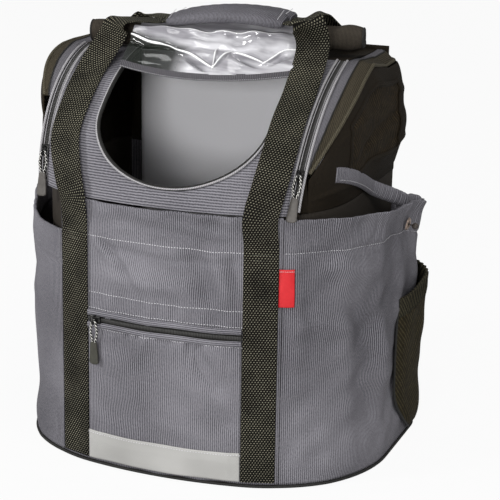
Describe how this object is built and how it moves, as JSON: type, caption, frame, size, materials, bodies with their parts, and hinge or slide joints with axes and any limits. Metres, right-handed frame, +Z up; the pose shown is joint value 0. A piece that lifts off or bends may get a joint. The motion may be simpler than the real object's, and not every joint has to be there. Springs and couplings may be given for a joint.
{
  "type": "dog bicycle basket",
  "caption": "Soft fabric carrier for a small dog with a curved front, side pockets, a zipped hood with a U-shaped opening, carrying loops and a handlebar bracket.",
  "frame": {"origin": "middle of the underside, below the crossing of the side walls and the bag's middle", "axes": "+Z up from the floor, -Y out of the curved front, +X towards the viewer's right when facing the front"},
  "size_m": [0.4082, 0.2953, 0.4575],
  "materials": {
    "grey_cloth": "ribbed woven polyester",
    "dark_cloth": "matt woven polyester",
    "lining_cloth": "smooth lining",
    "webbing": "coarse woven webbing",
    "mesh": "open mesh",
    "reflective": "reflective tape",
    "red_cloth": "woven tape",
    "zip_cloth": "coil zip",
    "board_plastic": "matt",
    "zip_metal": "black lacquer",
    "pull_rubber": "matt",
    "clear_sheet": "clear soft sheet",
    "bracket_plastic": "moulded",
    "steel": "plated"
  },
  "bodies": {
    "basket": {"base_panel": "dark_cloth", "base_board": "board_plastic", "floor_cushion": "dark_cloth", "front_wall": "grey_cloth", "left_side_wall": "dark_cloth", "right_side_wall": "dark_cloth", "back_wall": "grey_cloth", "back_board": "board_plastic", "back_lining": "lining_cloth", "hood_back": "dark_cloth", "hood_roof": "dark_cloth", "front_cover": "grey_cloth", "left_hood_side": "dark_cloth", "right_hood_side": "dark_cloth", "left_vent_mesh": "mesh", "right_vent_mesh": "mesh", "left_hood_band": "grey_cloth", "right_hood_band": "grey_cloth", "left_zip_tape": "zip_cloth", "right_zip_tape": "zip_cloth", "window_roll": "grey_cloth", "window_vinyl": "clear_sheet", "left_side_pocket": "grey_cloth", "right_side_pocket": "grey_cloth", "left_pocket_hem": "grey_cloth", "right_pocket_hem": "grey_cloth", "left_pocket_inner_hem": "grey_cloth", "right_pocket_inner_hem": "grey_cloth", "left_drawcord": "webbing", "right_drawcord": "webbing", "left_eyelet": "steel", "right_eyelet": "steel", "left_cord_bead": "board_plastic", "right_cord_bead": "board_plastic", "left_mesh_pocket": "mesh", "right_mesh_pocket": "mesh", "front_pocket_panel": "grey_cloth", "pocket_zip": "zip_cloth", "reflective_strip": "reflective", "red_tab": "red_cloth", "left_front_strap": "webbing", "right_front_strap": "webbing", "left_rear_strap": "webbing", "right_rear_strap": "webbing", "rear_bracket": "bracket_plastic", "left_bracket_bolt": "steel", "right_bracket_bolt": "steel", "d_ring_tab": "webbing"},
    "front_loop": {"front_handle": "webbing", "front_grip": "grey_cloth"},
    "rear_loop": {"rear_handle": "webbing", "rear_grip": "grey_cloth"},
    "left_slider": {"left_zip_slider": "zip_metal"},
    "right_slider": {"right_zip_slider": "zip_metal"},
    "pocket_slider": {"pocket_zip_slider": "zip_metal"},
    "left_pull": {"left_zip_pull": "pull_rubber"},
    "right_pull": {"right_zip_pull": "pull_rubber"},
    "pocket_pull": {"pocket_zip_pull": "pull_rubber"},
    "lead_ring": {"d_ring": "steel"}
  },
  "joints": [
    {"name": "front_loop_swing", "type": "hinge", "parent": "basket", "child": "front_loop", "pos_m": [0, -0.12936, 0.247], "axis": [1, 0, 0], "range_deg": [0, 112]},
    {"name": "rear_loop_swing", "type": "hinge", "parent": "basket", "child": "rear_loop", "pos_m": [0, 0.1377, 0.247], "axis": [-1, 0, 0], "range_deg": [0, 150]},
    {"name": "left_zip_run", "type": "hinge", "parent": "basket", "child": "left_slider", "pos_m": [-0.146, 0.02482, 0.28869], "axis": [-1, 0, 0], "range_deg": [0, 65]},
    {"name": "right_zip_run", "type": "hinge", "parent": "basket", "child": "right_slider", "pos_m": [0.126, 0.09396, 0.19646], "axis": [-1, 0, 0], "range_deg": [0, 32]},
    {"name": "pocket_zip_run", "type": "hinge", "parent": "basket", "child": "pocket_slider", "pos_m": [0, 0.285, 0.158], "axis": [0, 0, 1], "range_deg": [0, 19.7]},
    {"name": "left_pull_swing", "type": "hinge", "parent": "left_slider", "child": "left_pull", "pos_m": [-0.146, -0.09797, 0.31739], "axis": [-1, 0, 0], "range_deg": [0, 150]},
    {"name": "right_pull_swing", "type": "hinge", "parent": "right_slider", "child": "right_pull", "pos_m": [0.126, -0.09705, 0.3193], "axis": [-1, 0, 0], "range_deg": [0, 150]},
    {"name": "pocket_pull_swing", "type": "hinge", "parent": "pocket_slider", "child": "pocket_pull", "pos_m": [-0.07335, -0.13657, 0.15815], "axis": [-0.9852, 0.1714, 0], "range_deg": [0, 150]},
    {"name": "lead_ring_swing", "type": "hinge", "parent": "basket", "child": "lead_ring", "pos_m": [0.06, 0.1223, 0.235], "axis": [-1, 0, 0], "range_deg": [0, 110]}
  ]
}
